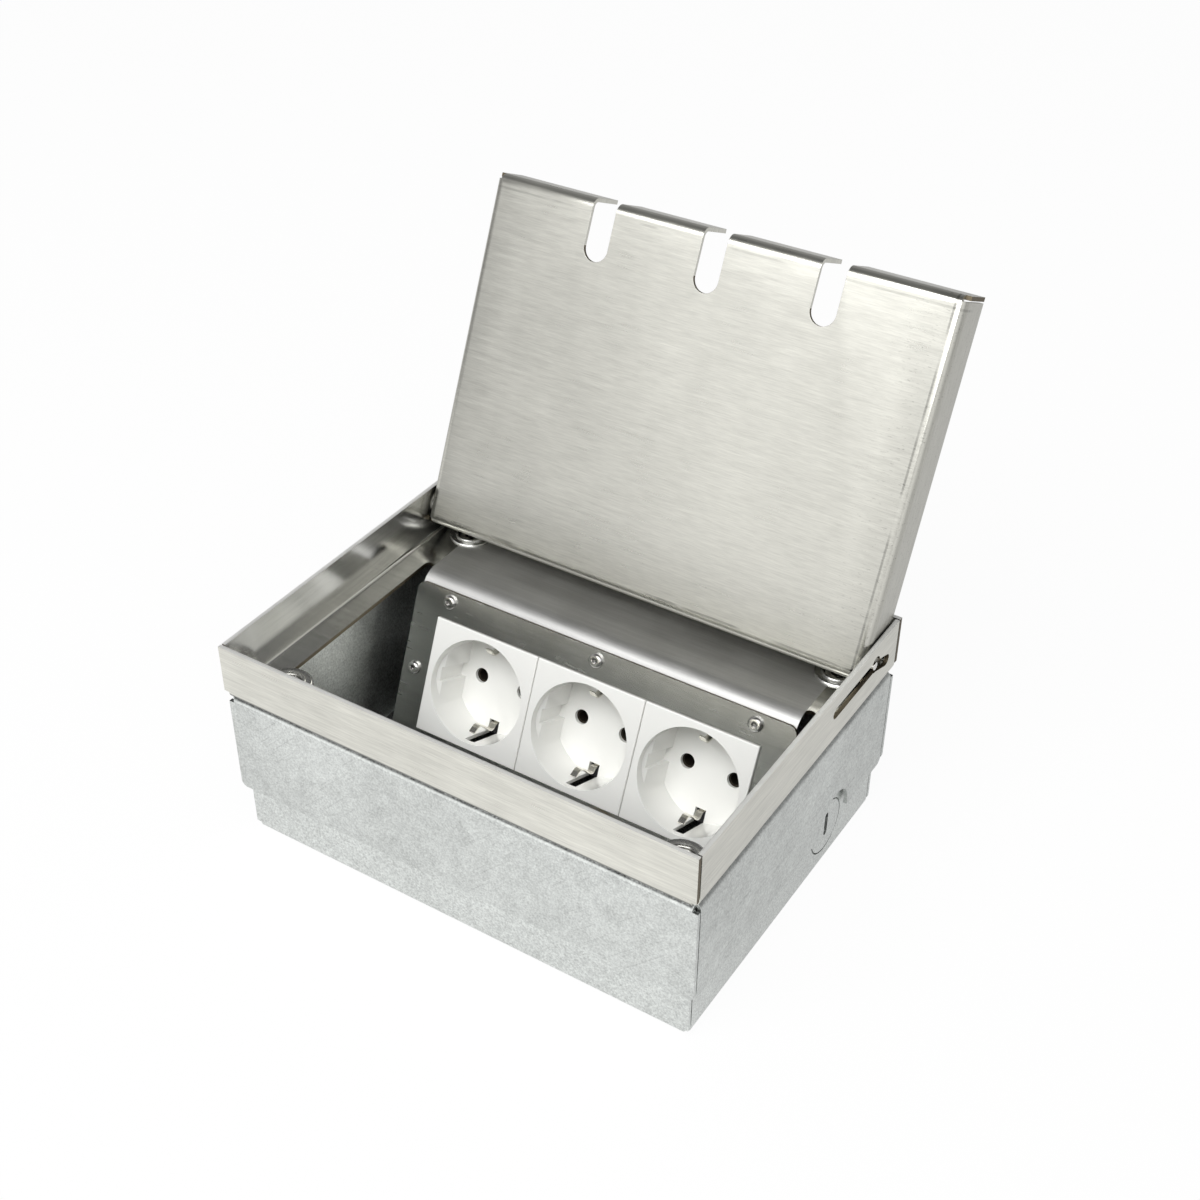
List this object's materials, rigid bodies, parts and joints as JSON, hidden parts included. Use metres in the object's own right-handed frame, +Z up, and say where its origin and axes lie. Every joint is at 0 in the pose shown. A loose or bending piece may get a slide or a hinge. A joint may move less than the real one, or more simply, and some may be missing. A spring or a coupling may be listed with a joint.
{
  "type": "floor socket box",
  "caption": "Folded steel floor box with a levelling upper frame, a hinged tray lid with cable slots and earthed sockets on a sloped plate.",
  "frame": {"origin": "middle of the underside of the lower box, on the slab it stands on", "axes": "+X along the long front to the right as the sockets face you, +Y to the back where the lid is hinged, +Z up out of the floor"},
  "size_m": [0.184, 0.1793, 0.1901],
  "materials": {
    "stainless": "brushed",
    "galvanised": "galvanised, mottled",
    "white_gloss": "glossy",
    "housing": "satin",
    "screw": "bright",
    "zinc_steel": "zinc plated",
    "nickel": "nickel plated spring",
    "brass": "satin"
  },
  "bodies": {
    "base": {"lower_box": "galvanised", "levelling_pillars": "zinc_steel", "earth_stud": "brass", "earth_nuts": "brass", "earth_washer": "brass"},
    "upper": {"height_skirt": "galvanised", "top_frame": "stainless", "levelling_cups": "stainless", "socket_plate": "stainless", "plate_top_screws": "screw", "plate_side_screws": "screw", "plate_nuts": "zinc_steel", "socket_front_1": "white_gloss", "socket_base_1": "housing", "earth_strap_1": "nickel", "pin_contacts_1": "brass", "socket_front_2": "white_gloss", "socket_base_2": "housing", "earth_strap_2": "nickel", "pin_contacts_2": "brass", "socket_front_3": "white_gloss", "socket_base_3": "housing", "earth_strap_3": "nickel", "pin_contacts_3": "brass"},
    "screw_front_left": {"levelling_screw_front_left": "screw", "screw_clip_front_left": "zinc_steel"},
    "screw_back_left": {"levelling_screw_back_left": "screw", "screw_clip_back_left": "zinc_steel"},
    "screw_front_right": {"levelling_screw_front_right": "screw", "screw_clip_front_right": "zinc_steel"},
    "screw_back_right": {"levelling_screw_back_right": "screw", "screw_clip_back_right": "zinc_steel"},
    "hinge_pins": {"lid_pivot_pins": "screw"},
    "lid": {"lid_tray": "stainless"}
  },
  "joints": [
    {"name": "height_adjust", "type": "slide", "parent": "base", "child": "upper", "axis": [0, 0, 1], "range_m": [0, 0.02]},
    {"name": "levelling_turn_front_left", "type": "hinge", "parent": "upper", "child": "screw_front_left", "pos_m": [-0.0775, -0.054, 0.06], "axis": [0, 0, 1], "range_deg": [0, 7200]},
    {"name": "levelling_turn_back_left", "type": "hinge", "parent": "upper", "child": "screw_back_left", "pos_m": [-0.0775, 0.054, 0.06], "axis": [0, 0, 1], "range_deg": [0, 7200]},
    {"name": "levelling_turn_front_right", "type": "hinge", "parent": "upper", "child": "screw_front_right", "pos_m": [0.0775, -0.054, 0.06], "axis": [0, 0, 1], "range_deg": [0, 7200]},
    {"name": "levelling_turn_back_right", "type": "hinge", "parent": "upper", "child": "screw_back_right", "pos_m": [0.0775, 0.054, 0.06], "axis": [0, 0, 1], "range_deg": [0, 7200]},
    {"name": "pin_slide", "type": "slide", "parent": "upper", "child": "hinge_pins", "axis": [0, 0.941, -0.3383], "range_m": [0, 0.00946]},
    {"name": "lid_hinge", "type": "hinge", "parent": "hinge_pins", "child": "lid", "pos_m": [0, 0.05, 0.0745], "axis": [1, 0, 0], "range_deg": [0, 114]}
  ],
  "couplings": [
    {"joint": "levelling_turn_front_left", "follows": "height_adjust", "rad_per_m": 6283.2},
    {"joint": "levelling_turn_back_left", "follows": "height_adjust", "rad_per_m": 6283.2},
    {"joint": "levelling_turn_front_right", "follows": "height_adjust", "rad_per_m": 6283.2},
    {"joint": "levelling_turn_back_right", "follows": "height_adjust", "rad_per_m": 6283.2},
    {"joint": "pin_slide", "follows": "lid_hinge", "m_per_rad": 0.0047534}
  ]
}
